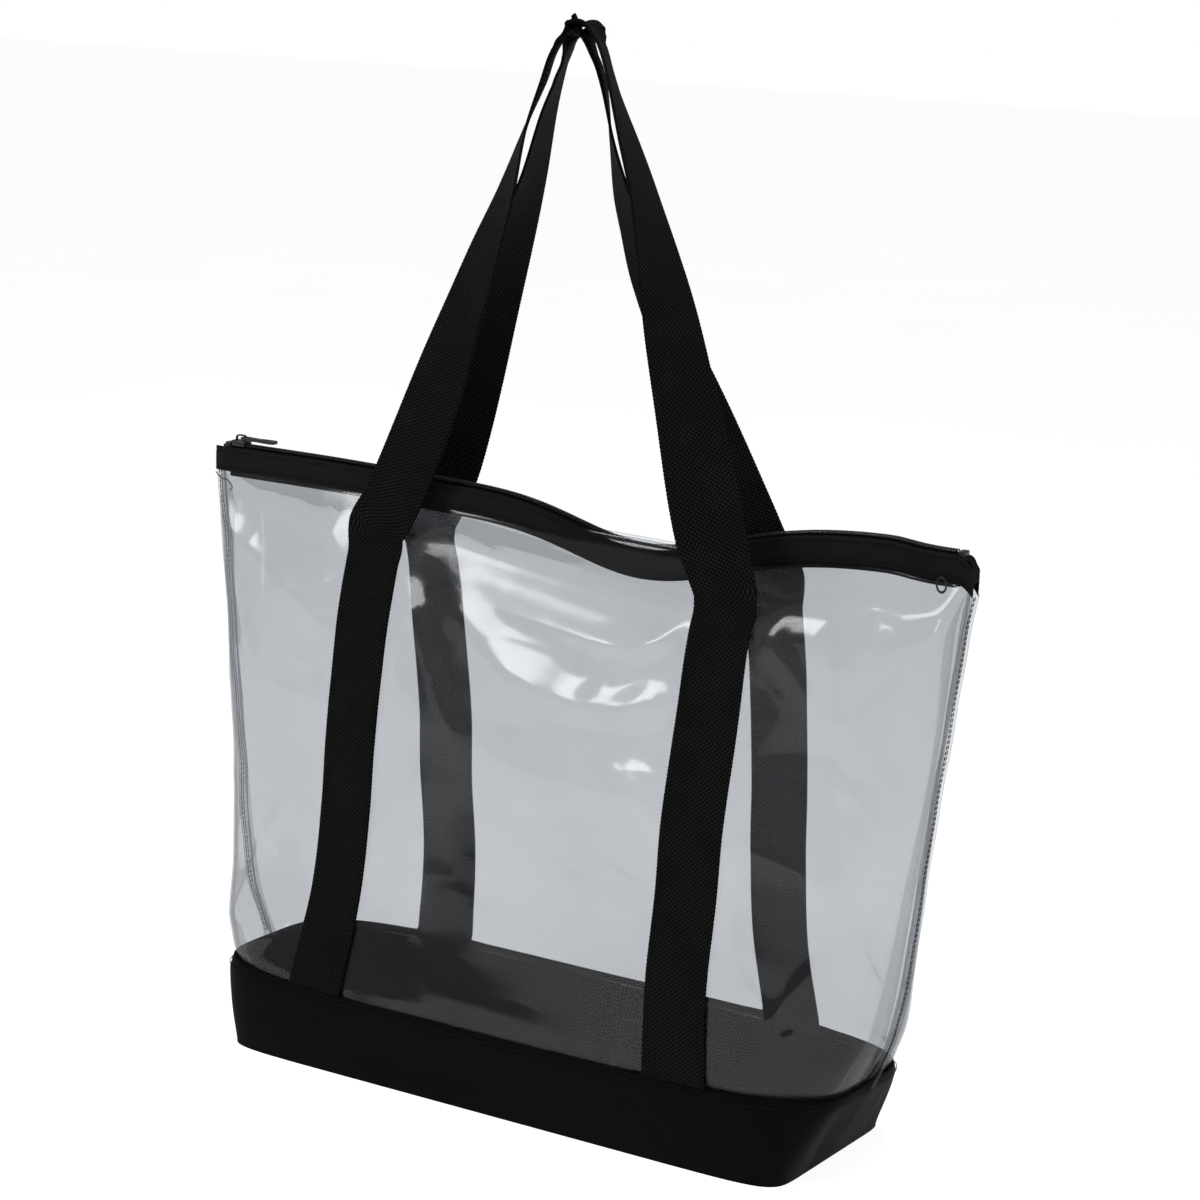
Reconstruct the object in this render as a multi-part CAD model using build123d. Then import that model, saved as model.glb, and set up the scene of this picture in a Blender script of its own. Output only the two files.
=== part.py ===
from build123d import *
import math
import os

# A clear tote bag for the beach: two clear vinyl panels on a boxed black fabric base, a zip
# along the top and two webbing handles sewn to the outside of the panels.
# Origin: centre of the underside of the base. X runs along the bag, -Y is the front, +Z is up.
# The body looks the same when it is turned half round Z, so each of its back pieces is the front
# piece turned. The back handle is turned too, from a route of its own that passes under the front one.

# ---- driving dimensions, millimetres ----
BASE_LENGTH = 370.0        # base footprint along X
BASE_DEPTH = 133.0         # base footprint along Y
BASE_HEIGHT = 46.0         # height of the black base band
BASE_TOP_LENGTH = 413.0    # the boxed ends lean out to this at the top of the band
BASE_TOP_DEPTH = 138.0
BOOT_THICKNESS = 1.6
VINYL_THICKNESS = 1.0
PANEL_TOP = 331.0          # upper edge of the vinyl, inside the top band
SEAM_ALLOWANCE = 4.0       # vinyl standing out past the side seams

BAND_TOP = 342.5
BAND_BOTTOM = 328.0
BAND_LENGTH = 496.0
BAND_THICKNESS = 1.1

WEBBING_WIDTH = 38.0
WEBBING_THICKNESS = 1.6
STRAP_CENTRE = 120.5       # from the middle of the bag to the middle of each strap
LIFT_OFF = 303.0           # height where the sewn straps end and the free loops begin
BODY_GAP = 0.35            # kept between pieces that move apart

ZIP_LENGTH = 476.0
TAPE_THICKNESS = 0.9
COIL_WIDTH = 5.0
COIL_HEIGHT = 2.4
COIL_BOTTOM = BAND_TOP + 0.2
SLIDER_LENGTH = 11.0
SLIDER_START = -232.0      # the slider parked at the left end
PULL_LENGTH = 25.0
PULL_WIDTH = 7.0
PULL_THICKNESS = 1.2
PULL_BAR = 1.9             # diameter of the round bar that the pull swings on

# ---- the bag's shape: half sizes of its level sections, against height ----
HALF_LENGTH = [(46, 203), (80, 216), (160, 226), (255, 236), (331, 245)]
HALF_DEPTH = [(46, 67), (100, 58), (150, 51), (190, 48.5), (250, 38), (290, 28), (308, 20), (328, 3.4), (331, 3.0)]
DEPTH_SKEW = [(46, 0), (100, 11), (150, 12), (190, 12), (250, 10), (290, 10), (308, 8), (328, 0), (331, 0)]

# The free loops of the handles, each in its own panel's frame with that panel at the front: middle
# of the webbing (x, z), and the turn of its width about Z, in degrees. The width runs along +X where
# the left leg leaves the panel and along -X on the right. The back loop passes under the front one.
LOOP_START = [(-120.5, 303.35, 0), (-120.5, 307, 0), (-120.2, 311, 0), (-112, 324, 0)]
LOOP_END = [(120.2, 311, 180), (120.5, 307, 180), (120.5, 303.35, 180)]
FRONT_ROUTE = LOOP_START + [
    (-101, 349, 0),
    (-80.4, 405, 9),
    (-69, 439, 21),
    (-57.3, 473, 31),
    (-46.3, 505, 43),
    (-36, 543, 57),
    (-27, 568, 62),
    (-22.5, 582.5, 62),
    (-16.5, 592, 62),
    (-10, 597, 62),
    (-4, 599.2, 62),
    (1, 597.6, 62),
    (5, 593.8, 62),
    (9.3, 588, 62),
    (13.5, 580.5, 62),
    (20.8, 565.6, 64),
    (34, 539, 73),
    (47, 512, 81),
    (64, 470, 100),
    (73, 444, 112),
    (90, 394, 128),
    (108, 340, 158),
    (114.5, 325, 172),
] + LOOP_END
BACK_ROUTE = LOOP_START + [
    (-101, 344, 0),
    (-76, 392, 8),
    (-51, 439, 21),
    (-37.2, 466, 29),
    (-28.7, 488, 36),
    (-21, 509, 44),
    (-14.5, 537, 55),
    (-9.8, 564, 61),
    (-6, 577, 62),
    (-2, 585, 62),
    (1.8, 591.2, 62),
    (5, 594, 62),
    (8.6, 592.4, 62),
    (12.4, 588, 62),
    (16.2, 581, 62),
    (20.6, 572.5, 63),
    (28.8, 553, 69),
    (39.4, 521, 77),
    (45.6, 505, 83),
    (60, 471, 100),
    (73.2, 437, 114),
    (85.1, 402, 126),
    (104, 348, 152),
    (113.5, 325, 172),
] + LOOP_END
LOOP_TOP = 600.0           # the height where the two loops come together over the middle of the bag


def along(keys, place):
    """A smooth curve through (place, value) keys, level with the keys at its ends."""
    if place <= keys[0][0]:
        return keys[0][1]
    if place >= keys[-1][0]:
        return keys[-1][1]
    index = max(i for i in range(len(keys) - 1) if keys[i][0] <= place)
    (start, low), (end, high) = keys[index], keys[index + 1]
    before = keys[max(index - 1, 0)]
    after = keys[min(index + 2, len(keys) - 1)]
    slope_in = (high - before[1]) / (end - before[0])
    slope_out = (after[1] - low) / (after[0] - start)
    span = end - start
    u = (place - start) / span
    return (
        (2 * u**3 - 3 * u**2 + 1) * low
        + (u**3 - 2 * u**2 + u) * span * slope_in
        + (3 * u**2 - 2 * u**3) * high
        + (u**3 - u**2) * span * slope_out
    )


def boxiness(height):
    """Exponent of the level section: squarer near the base and under the top band."""
    share = (height - BASE_HEIGHT) / (PANEL_TOP - BASE_HEIGHT)
    return 2.7 + 1.5 * (1 - share) ** 2 + 12 * share**10


def front_point(turn, height, out=0.0):
    """A point of the front panel; turn runs from 0 at the left seam to pi at the right seam."""
    power = 2 / boxiness(height)
    cosine = -math.cos(turn)
    half_length = along(HALF_LENGTH, height) + out
    x = half_length * math.copysign(abs(cosine) ** power, cosine)
    lean = max(-1.3, min(1.3, x / STRAP_CENTRE))
    depth = along(HALF_DEPTH, height) + along(DEPTH_SKEW, height) * lean + out
    return (x, -depth * abs(math.sin(turn)) ** power, height)


def front_depth(x, height, out=0.0):
    """The front panel's y at a given x and height."""
    low, high = 0.0, math.pi
    for _ in range(40):
        middle = (low + high) / 2
        if front_point(middle, height, out)[0] < x:
            low = middle
        else:
            high = middle
    return front_point(low, height, out)[1]


def sheet(inner_rows, outer_rows):
    """A closed sheet between two matching grids of points."""
    inner = Face.make_surface_from_array_of_points(inner_rows, tol=0.02)
    outer = Face.make_surface_from_array_of_points(outer_rows, tol=0.02)
    faces = [inner, outer]
    for edge in inner.edges():
        partner = min(outer.edges(), key=lambda other: (other.center() - edge.center()).length)
        faces.append(Face.make_surface_from_curves(edge, partner))
    return Solid(Shell(faces))


def half_turned(piece):
    """The matching piece on the other side of the bag."""
    return Rot(0, 0, 180) * piece


def strip_plate(edge_a, edge_b, y_low, y_high):
    """A flat plate in an XZ plane between two upright curves, from y_low to y_high."""
    outline = Wire([
        Spline(edge_a),
        Line(edge_a[-1], edge_b[-1]),
        Spline(edge_b),
        Line(edge_b[0], edge_a[0]),
    ])
    return Pos(0, y_low, 0) * extrude(Face(outline), amount=y_high - y_low, dir=(0, 1, 0))


def block(x_range, y_range, z_range):
    """A box from three (low, high) pairs."""
    sizes = [high - low for low, high in (x_range, y_range, z_range)]
    middle = [(high + low) / 2 for low, high in (x_range, y_range, z_range)]
    return Pos(*middle) * Box(*sizes)


# ---- base ----
def base_section(height, inset):
    """The boxed base's level outline, inset by the wall where needed."""
    share = height / BASE_HEIGHT
    half_x = (BASE_LENGTH + (BASE_TOP_LENGTH - BASE_LENGTH) * share) / 2 - inset
    half_y = (BASE_DEPTH + (BASE_TOP_DEPTH - BASE_DEPTH) * share) / 2 - inset
    power = 2 / (9.0 + (4.2 - 9.0) * share)
    corners = 48
    points = []
    for step in range(corners):
        turn = 2 * math.pi * (step + 0.5) / corners
        cosine, sine = math.cos(turn), math.sin(turn)
        points.append((
            half_x * math.copysign(abs(cosine) ** power, cosine),
            half_y * math.copysign(abs(sine) ** power, sine),
            height,
        ))
    return Face(Wire(Spline(points, periodic=True)))


def base_solid(low, high, inset):
    """The base filled solid between two heights."""
    return loft([base_section(low, inset), base_section(high, inset)], ruled=True)


def base_bottom():
    """The flat bottom of the black fabric base."""
    return base_solid(0, BOOT_THICKNESS, 0)


def base_wall():
    """The base's walls, folded up from the bottom all the way round."""
    walls = base_solid(BOOT_THICKNESS, BASE_HEIGHT, 0)
    return walls - base_solid(BOOT_THICKNESS - 0.01, BASE_HEIGHT + 0.01, BOOT_THICKNESS)


def base_seam_thread():
    """The line of stitches round the top of the base."""
    low, high = BASE_HEIGHT - 5.0, BASE_HEIGHT - 4.2
    return base_solid(low, high, -0.35) - base_solid(low - 0.1, high + 0.1, 0)


# ---- panels and side seams ----
PANEL_HEIGHTS = [BASE_HEIGHT + 0.05 + (PANEL_TOP - BASE_HEIGHT - 0.05) * i / 19 for i in range(20)]


def front_panel():
    """The front sheet of clear vinyl, from side seam to side seam."""
    steps = 40
    faces = [
        [[front_point(math.pi * i / steps, z, out) for i in range(steps + 1)] for z in PANEL_HEIGHTS]
        for out in (0, VINYL_THICKNESS)
    ]
    return sheet(*faces)


def seam_curve(offset):
    """The right side seam's curve up the bag, offset outward."""
    heights = [BASE_HEIGHT + 0.5, 80, 120, 160, 210, 255, 300, BAND_BOTTOM - 0.5]
    return [(along(HALF_LENGTH, z) + offset, 0, z) for z in heights]


def right_side_seam():
    """The two vinyl edges sewn flat together, standing out at the side."""
    near = VINYL_THICKNESS + 0.15
    return strip_plate(seam_curve(near), seam_curve(near + SEAM_ALLOWANCE), -0.9, 0.9)


def seam_thread(side):
    """Stitches on one face of the right side seam; side is -1 for the front face."""
    near = VINYL_THICKNESS + 0.15 + SEAM_ALLOWANCE / 2
    faces = sorted([side * 0.9, side * 1.2])
    return strip_plate(seam_curve(near - 0.35), seam_curve(near + 0.35), *faces)


# ---- top band and zip ----
BAND_FACE = 4.15           # inner face of the band from the middle of the bag


def front_top_band():
    """The black trim folded over the top edge of the vinyl."""
    faces = (-BAND_FACE - BAND_THICKNESS, -BAND_FACE)
    return block((-BAND_LENGTH / 2, BAND_LENGTH / 2), faces, (BAND_BOTTOM, BAND_TOP))


def top_band_thread():
    """Two rows of stitches along the front band."""
    outer = -BAND_FACE - BAND_THICKNESS
    ends = (-BAND_LENGTH / 2 + 3, BAND_LENGTH / 2 - 3)
    return [block(ends, (outer - 0.3, outer), (z, z + 0.6)) for z in (BAND_BOTTOM + 1.8, BAND_TOP - 3.0)]


def front_zip_tape():
    """The woven tape that carries the front half of the coil."""
    ends = (-ZIP_LENGTH / 2, ZIP_LENGTH / 2)
    return block(ends, (-1.7 - TAPE_THICKNESS, -1.7), (BAND_BOTTOM - 3, BAND_TOP))


def front_zip_coil():
    """The front half of the closed nylon coil, as its outer shape."""
    ends = (-ZIP_LENGTH / 2, ZIP_LENGTH / 2)
    bar = block(ends, (-COIL_WIDTH / 2, -0.02), (COIL_BOTTOM, COIL_BOTTOM + COIL_HEIGHT))
    outer_edges = bar.edges().filter_by(Axis.X).group_by(Axis.Y)[0]
    return fillet(outer_edges, 1.0)


def zip_stop(side):
    """A crimped stop over both ends of the coil; side is -1 for the left end."""
    inner, outer = side * ZIP_LENGTH / 2, side * (ZIP_LENGTH / 2 + 4)
    return block(sorted((inner + side * 0.05, outer)), (-3.2, 3.2), (BAND_TOP - 5, COIL_BOTTOM + 2.6))


def zip_tail():
    """The loose end of the zip, turned down past the right-hand stop."""
    start = ZIP_LENGTH / 2 + 4.05
    path = [(start, COIL_BOTTOM), (start + 3, COIL_BOTTOM - 1), (start + 5.5, COIL_BOTTOM - 6), (start + 6, 330)]
    inner = [(x - 1.2, z - 0.6) for x, z in path[1:]]
    outline = Polyline([(x, 0, z) for x, z in path] + [(x, 0, z) for x, z in reversed(inner)], close=True)
    return Pos(0, -3.0, 0) * extrude(Face(Wire(outline)), amount=6.0, dir=(0, 1, 0))


def zip_slider_body():
    """The slider, a saddle over the coil whose lips hold it under both edges."""
    gap = BODY_GAP
    top = COIL_BOTTOM + COIL_HEIGHT + gap
    half = COIL_WIDTH / 2 + gap
    ends = (SLIDER_START - SLIDER_LENGTH / 2, SLIDER_START + SLIDER_LENGTH / 2)
    plate = block(ends, (-half - 1.0, half + 1.0), (top, top + 1.2))
    for side in (-1, 1):
        flange = sorted((side * half, side * (half + 1.0)))
        plate += block(ends, flange, (COIL_BOTTOM + 0.6, top + 0.1))
    upright = plate.edges().filter_by(Axis.Z)
    return fillet(upright.group_by(Axis.X)[0] + upright.group_by(Axis.X)[-1], 0.4)


BRIDGE_BASE = COIL_BOTTOM + COIL_HEIGHT + BODY_GAP + 1.2
BRIDGE_HEIGHT = 3.6


def zip_slider_bridge():
    """The low bridge on the slider that the pull swings on."""
    ends = (SLIDER_START - 4.2, SLIDER_START + 4.2)
    bridge = block(ends, (-0.9, 0.9), (BRIDGE_BASE, BRIDGE_BASE + BRIDGE_HEIGHT))
    eye = block((SLIDER_START - 3.0, SLIDER_START + 3.0), (-1, 1), (BRIDGE_BASE - 0.5, BRIDGE_BASE + 2.5))
    return bridge - eye


PULL_AXIS_X = SLIDER_START + 1.4
PULL_AXIS_Z = BRIDGE_BASE + 1.25


def zip_pull():
    """The flat pull tab: a round bar under the bridge, its ring, and a tab with an oval hole."""
    plane = Plane.XY.offset(PULL_AXIS_Z)
    bar = PULL_BAR / 2
    with BuildPart() as tab:
        with BuildSketch(plane):
            with Locations((PULL_AXIS_X + PULL_LENGTH / 2 - bar, 0)):
                SlotOverall(PULL_LENGTH, PULL_WIDTH)
            with Locations((PULL_AXIS_X + 3.6, 0)):
                Rectangle(7.2, 2.8, mode=Mode.SUBTRACT)
            with Locations((PULL_AXIS_X + PULL_LENGTH - 6.5, 0)):
                SlotOverall(6.0, 3.0, mode=Mode.SUBTRACT)
        extrude(amount=PULL_THICKNESS / 2, both=True)
    round_bar = Pos(PULL_AXIS_X, 0, PULL_AXIS_Z) * Rot(90, 0, 0) * Cylinder(bar, 3.4)
    return tab.part + round_bar


# ---- webbing ----
def sewn_strap(centre):
    """Webbing sewn flat on the front panel, from the base seam to where the loop leaves it."""
    reach = WEBBING_WIDTH / 2
    across = [centre - reach + WEBBING_WIDTH * i / 8 for i in range(9)]
    low, high = BASE_HEIGHT + 0.6, LIFT_OFF
    heights = [low + (high - low) * i / 20 for i in range(21)]
    inner = VINYL_THICKNESS + 0.3
    faces = [
        [[(x, front_depth(x, z, inner) - thickness, z) for x in across] for z in heights]
        for thickness in (0, WEBBING_THICKNESS)
    ]
    return sheet(*faces)


def strap_face(centre):
    """The y furthest out on the sewn webbing's outer face, where the loop leaves the panel."""
    edges = [centre + share * WEBBING_WIDTH for share in (-0.5, 0, 0.5)]
    return min(front_depth(x, LIFT_OFF, VINYL_THICKNESS + 0.3) for x in edges) - WEBBING_THICKNESS


def bar_tack(centre):
    """The row of tight stitches that ends a sewn strap."""
    z = LIFT_OFF - 6.0
    outer = front_depth(centre, z, VINYL_THICKNESS + 0.3) - WEBBING_THICKNESS
    span = (centre - WEBBING_WIDTH / 2 + 4, centre + WEBBING_WIDTH / 2 - 4)
    return block(span, (outer - 0.5, outer + 0.15), (z, z + 1.0))


def handle_loop(route):
    """The free loop of webbing between a panel's two straps, turned edge-on at its top."""
    steps = [math.dist(here[:2], there[:2]) for here, there in zip(route, route[1:])]
    reach = [sum(steps[:i]) for i in range(len(route))]
    xs, zs, turns = [list(zip(reach, values)) for values in zip(*route)]
    half = WEBBING_THICKNESS / 2
    stations = []
    for start, step, key in zip(reach, steps, route):
        pitch = 8 if key[1] > 560 else 20
        count = max(1, round(step / pitch))
        stations += [start + step * i / count for i in range(count)]
    stations.append(reach[-1])

    def middle(place):
        x, z = along(xs, place), along(zs, place)
        start = strap_face(-STRAP_CENTRE if place < reach[-1] / 2 else STRAP_CENTRE) + half
        share = along([(LIFT_OFF, 1), (311, 1), (345, 0.92), (480, 0.5), (LOOP_TOP, 0)], z)
        return Vector(x, start * share, z)

    sections = []
    for place in stations:
        tangent = (middle(min(place + 0.5, reach[-1])) - middle(max(place - 0.5, 0))).normalized()
        turn = math.radians(along(turns, place))
        width = Vector(math.cos(turn), -math.sin(turn), 0)
        width = (width - tangent * width.dot(tangent)).normalized() * (WEBBING_WIDTH / 2)
        outward = width.cross(tangent).normalized() * half
        centre = middle(place)
        corners = [centre + width * a + outward * b for a, b in ((-1, -1), (1, -1), (1, 1), (-1, 1))]
        sections.append([tuple(corner) for corner in corners])
    faces = [Face(Wire(Polyline(sections[i], close=True))) for i in (0, -1)]
    for here, there in zip(sections, sections[1:]):
        for i, k in ((0, 1), (1, 2), (2, 3), (3, 0)):
            edges = Edge.make_line(here[i], here[k]), Edge.make_line(there[i], there[k])
            faces.append(Face.make_surface_from_curves(*edges))
    return Solid(Shell(faces))


# ---- the whole bag ----
def build():
    left, right = -STRAP_CENTRE, STRAP_CENTRE
    panel = front_panel()
    left_strap, right_strap = sewn_strap(left), sewn_strap(right)
    side_seam = right_side_seam()
    seam_threads = [seam_thread(-1), seam_thread(1)]
    band, tape, coil = front_top_band(), front_zip_tape(), front_zip_coil()
    band_thread = top_band_thread()
    tacks = [bar_tack(left), bar_tack(right)]
    return {
        "base_bottom": base_bottom(),
        "base_wall": base_wall(),
        "base_seam_thread": base_seam_thread(),
        "front_panel": panel,
        "back_panel": half_turned(panel),
        "right_side_seam": side_seam,
        "left_side_seam": half_turned(side_seam),
        "right_seam_thread": Compound(seam_threads),
        "left_seam_thread": Compound([half_turned(thread) for thread in seam_threads]),
        "front_top_band": band,
        "back_top_band": half_turned(band),
        "top_band_thread": Compound(band_thread + [half_turned(row) for row in band_thread]),
        "front_zip_tape": tape,
        "back_zip_tape": half_turned(tape),
        "front_zip_coil": coil,
        "back_zip_coil": half_turned(coil),
        "left_zip_stop": zip_stop(-1),
        "right_zip_stop": zip_stop(1),
        "zip_tail": zip_tail(),
        "zip_slider_body": zip_slider_body(),
        "zip_slider_bridge": zip_slider_bridge(),
        "zip_pull": zip_pull(),
        "front_left_strap": left_strap,
        "front_right_strap": right_strap,
        "back_right_strap": half_turned(left_strap),
        "back_left_strap": half_turned(right_strap),
        "strap_bar_tacks": Compound(tacks + [half_turned(tack) for tack in tacks]),
        "front_handle": handle_loop(FRONT_ROUTE),
        "back_handle": half_turned(handle_loop(BACK_ROUTE)),
    }


os.makedirs("parts", exist_ok=True)
for name, shape in build().items():
    export_step(shape, f"parts/{name}.step")
print("front handle hinge, left and right:", strap_face(-STRAP_CENTRE), strap_face(STRAP_CENTRE))
print("pull hinge:", PULL_AXIS_X, PULL_AXIS_Z)
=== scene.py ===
"""A clear vinyl beach bag on a pale studio floor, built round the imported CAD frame.

Shapes are worked out in millimetres, in the frame's axes: X along the bag, -Y the front, Z up.
"""
import math

import bmesh
import bpy
import numpy as np
from mathutils import Matrix, Vector, noise


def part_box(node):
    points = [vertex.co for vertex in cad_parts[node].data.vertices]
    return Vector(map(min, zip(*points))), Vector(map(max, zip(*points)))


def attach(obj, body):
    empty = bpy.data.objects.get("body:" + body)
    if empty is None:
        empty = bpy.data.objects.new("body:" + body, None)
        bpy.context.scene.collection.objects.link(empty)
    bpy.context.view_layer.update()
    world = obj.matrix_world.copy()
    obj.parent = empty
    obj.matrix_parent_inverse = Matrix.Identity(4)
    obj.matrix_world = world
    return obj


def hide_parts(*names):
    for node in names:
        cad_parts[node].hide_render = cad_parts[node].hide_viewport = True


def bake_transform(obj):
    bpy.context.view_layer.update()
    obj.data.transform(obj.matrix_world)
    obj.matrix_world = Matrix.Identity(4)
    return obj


MM = 0.001
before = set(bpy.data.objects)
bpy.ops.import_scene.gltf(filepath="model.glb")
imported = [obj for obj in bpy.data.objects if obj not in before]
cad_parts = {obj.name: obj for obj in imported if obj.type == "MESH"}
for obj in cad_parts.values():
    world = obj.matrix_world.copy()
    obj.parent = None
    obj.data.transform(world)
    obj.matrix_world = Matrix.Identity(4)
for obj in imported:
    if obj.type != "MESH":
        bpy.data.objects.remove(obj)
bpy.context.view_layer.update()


# ---------------------------------------------------------------- sizes shared with the CAD
def cad_size(node, axis):
    """(lowest, highest) of a CAD node along one axis, in millimetres."""
    low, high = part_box(node)
    return low[axis] / MM, high[axis] / MM


BASE_TOP = cad_size("base_wall", 2)[1]
BAND_LOW, BAND_HIGH = cad_size("front_top_band", 2)
BAND_END = cad_size("front_top_band", 0)[1]
COIL_LOW, COIL_TOP = cad_size("front_zip_coil", 2)
ZIP_END = cad_size("front_zip_coil", 0)[1]
LIFT_OFF = cad_size("front_left_strap", 2)[1]
WEBBING_WIDTH = 38.0
WEBBING_THICKNESS = 1.6
STRAP_CENTRE = 120.5
PANEL_TOP = 331.0
VINYL = 0.8
BASE_LENGTH, BASE_DEPTH = 370.0, 133.0
BASE_TOP_LENGTH, BASE_TOP_DEPTH = 413.0, 138.0
RIM_TUCK = 1.8

HALF_LENGTH = [(46, 203), (80, 216), (160, 226), (255, 236), (331, 245)]
HALF_DEPTH = [
    (46, 67), (100, 58), (150, 51), (190, 48.5), (250, 38), (290, 28), (308, 20), (328, 3.4), (331, 3.0),
]
DEPTH_SKEW = [
    (46, 0), (100, 11), (150, 12), (190, 12), (250, 10), (290, 10), (308, 8), (328, 0), (331, 0),
]


def along(keys, places):
    """A smooth curve through (place, value) keys, level beyond its ends."""
    keys = np.array(keys, float)
    x, y = keys[:, 0], keys[:, 1]
    before = np.concatenate([[y[0]], y[:-1]]), np.concatenate([[x[0]], x[:-1]])
    after = np.concatenate([y[1:], [y[-1]]]), np.concatenate([x[1:], [x[-1]]])
    slope = (after[0] - before[0]) / (after[1] - before[1])
    places = np.clip(np.asarray(places, float), x[0], x[-1])
    i = np.clip(np.searchsorted(x, places, side="right") - 1, 0, len(x) - 2)
    span = x[i + 1] - x[i]
    u = (places - x[i]) / span
    return (
        (2 * u**3 - 3 * u**2 + 1) * y[i]
        + (u**3 - 2 * u**2 + u) * span * slope[i]
        + (3 * u**2 - 2 * u**3) * y[i + 1]
        + (u**3 - u**2) * span * slope[i + 1]
    )


def bell(x, middle, left, right):
    """A smooth bump of height 1 with its own width on each side."""
    width = np.where(x < middle, left, right)
    return np.exp(-(((x - middle) / width) ** 2))


def top_sag(x):
    """The zip line's height over straight: a dip between the handles, a rise and a drooping end."""
    dip = 22.0 * bell(x, 50, 66, 70) + 2.0 * bell(x, -75, 60, 60)
    rise = 2.4 * bell(x, 197, 60, 17)
    droop = 7.0 * np.clip((x - 237) / 11, 0, 1) ** 2
    return rise - dip - droop


def sag_share(z):
    """How much of the zip line's sag a height takes: all at the top, none half way down."""
    u = np.clip((np.asarray(z, float) - 175) / (BAND_LOW - 175), 0, 1)
    return u**2.2


def squared_off(value, power):
    """A sine or cosine pushed towards 1, which squares off the circle that it draws."""
    return np.sign(value) * np.abs(value) ** power


# ---------------------------------------------------------------- panels
def boxiness(z):
    """The exponent of the bag's level sections: squarer at the base and under the band."""
    share = (z - BASE_TOP) / (PANEL_TOP - BASE_TOP)
    return 2.7 + 1.5 * (1 - share) ** 2 + 12 * share**10


def panel_point(turn, z, out=0.0):
    """A point of the front panel; turn runs from 0 at the left seam to pi at the right seam."""
    power = 2 / boxiness(z)
    cosine, sine = -np.cos(turn), np.sin(turn)
    x = (along(HALF_LENGTH, z) + out) * squared_off(cosine, power)
    lean = np.clip(x / STRAP_CENTRE, -1.3, 1.3)
    depth = along(HALF_DEPTH, z) + along(DEPTH_SKEW, z) * lean + out
    y = -depth * np.abs(sine) ** power
    return np.stack([x, y, z + top_sag(x) * sag_share(z)], axis=-1)


def panel_turn(x, z):
    """The turn at which the front panel has a given x."""
    power = boxiness(z) / 2
    share = np.clip(x / along(HALF_LENGTH, z), -1, 1)
    return np.arccos(-squared_off(share, power))


def fold(x, z, start, end, width, height):
    """A crease of raised sheet along a line, fading at its ends."""
    (ax, az), (bx, bz) = start, end
    length = math.hypot(bx - ax, bz - az)
    ux, uz = (bx - ax) / length, (bz - az) / length
    s = (x - ax) * ux + (z - az) * uz
    d = -(x - ax) * uz + (z - az) * ux
    fade = np.clip(np.minimum(s, length - s) / (0.35 * length) + 0.35, 0, 1)
    return height * np.exp(-((d / width) ** 2)) * fade * fade * (3 - 2 * fade)


def drape(x, z, middle, top, radius, width, height):
    """A hanging fold: part of a ring below the sagging middle of the zip."""
    r = np.hypot((x - middle) * 0.82, z - top)
    below = np.clip((top - z) / radius, 0, 1)
    return height * np.exp(-(((r - radius) / width) ** 2)) * below**0.8


def ripple(x, z, size, seed):
    """Slow, even noise between about -1 and 1."""
    flat_x, flat_z = np.ravel(x), np.ravel(z)
    values = [noise.noise(Vector((a / size, b / size, seed))) for a, b in zip(flat_x, flat_z)]
    return np.array(values).reshape(np.shape(x)) * 2


def creased(x, z, size, seed, sharpness=3.0):
    """Noise folded into narrow ridges, as stiff sheet buckles."""
    base = ripple(x, z, size, seed)
    return np.exp(-np.abs(base) * sharpness)


FRONT_FOLDS = [
    ((-238, 300), (-150, 250), 7, 1.6),
    ((-240, 316), (-205, 215), 6, 1.4),
    ((-205, 60), (-170, 150), 6, 1.5),
    ((-190, 52), (-120, 95), 5, 1.3),
    ((-100, 290), (-40, 200), 6, 1.6),
    ((-92, 250), (-60, 120), 8, 1.2),
    ((100, 300), (40, 240), 6, 1.5),
    ((140, 300), (205, 235), 7, 1.5),
    ((150, 120), (205, 60), 6, 1.8),
    ((168, 80), (200, 130), 4, 1.4),
    ((150, 60), (196, 92), 4, 1.2),
    ((225, 310), (190, 200), 8, 1.4),
    ((-40, 60), (60, 52), 8, 1.0),
]
BACK_FOLDS = [
    ((-235, 305), (-140, 240), 8, 1.6),
    ((235, 310), (150, 230), 8, 1.6),
    ((-200, 60), (-150, 140), 7, 1.5),
    ((195, 60), (150, 150), 7, 1.5),
    ((-60, 300), (-30, 160), 9, 1.3),
    ((40, 290), (80, 140), 9, 1.3),
]


def panel_relief(x, z, folds, seed):
    """How far the vinyl stands out from its smooth shape, in millimetres."""
    relief = 2.6 * ripple(x, z, 95, seed) + 0.9 * ripple(x, z, 38, seed + 7)
    relief += 0.9 * creased(x, z, 70, seed + 3) + 0.35 * creased(x, z, 30, seed + 5)
    for start, end, width, height in folds:
        relief = relief + fold(x, z, start, end, width, height)
    return relief


def edge_fade(turn, z):
    """0 along the sewn edges of a panel and 1 inside it."""
    sides = np.clip(np.minimum(turn, math.pi - turn) / 0.35, 0, 1)
    bottom = np.clip((z - BASE_TOP) / 22, 0, 1)
    top = np.clip((BAND_LOW + 1 - z) / 16, 0, 1)
    return sides * bottom * top


def under_strap(x):
    """1 where webbing holds the vinyl flat and 0 away from it."""
    near = np.minimum(np.abs(x - STRAP_CENTRE), np.abs(x + STRAP_CENTRE))
    return 1 - np.clip((near - WEBBING_WIDTH / 2) / 14, 0, 1)


def front_vinyl_points(turn, z, out=0.0):
    """The front panel's surface with its drapes and creases."""
    points = panel_point(turn, z, out)
    x, height = points[..., 0], points[..., 2]
    relief = panel_relief(x, height, FRONT_FOLDS, 1.0)
    relief += drape(x, height, 48, 335, 62, 6, 3.4) + drape(x, height, 40, 335, 96, 9, 3.0)
    relief += drape(x, height, 30, 330, 135, 14, 2.0)
    relief *= edge_fade(turn, z) * (1 - 0.85 * under_strap(x))
    points[..., 1] -= relief
    return points


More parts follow.
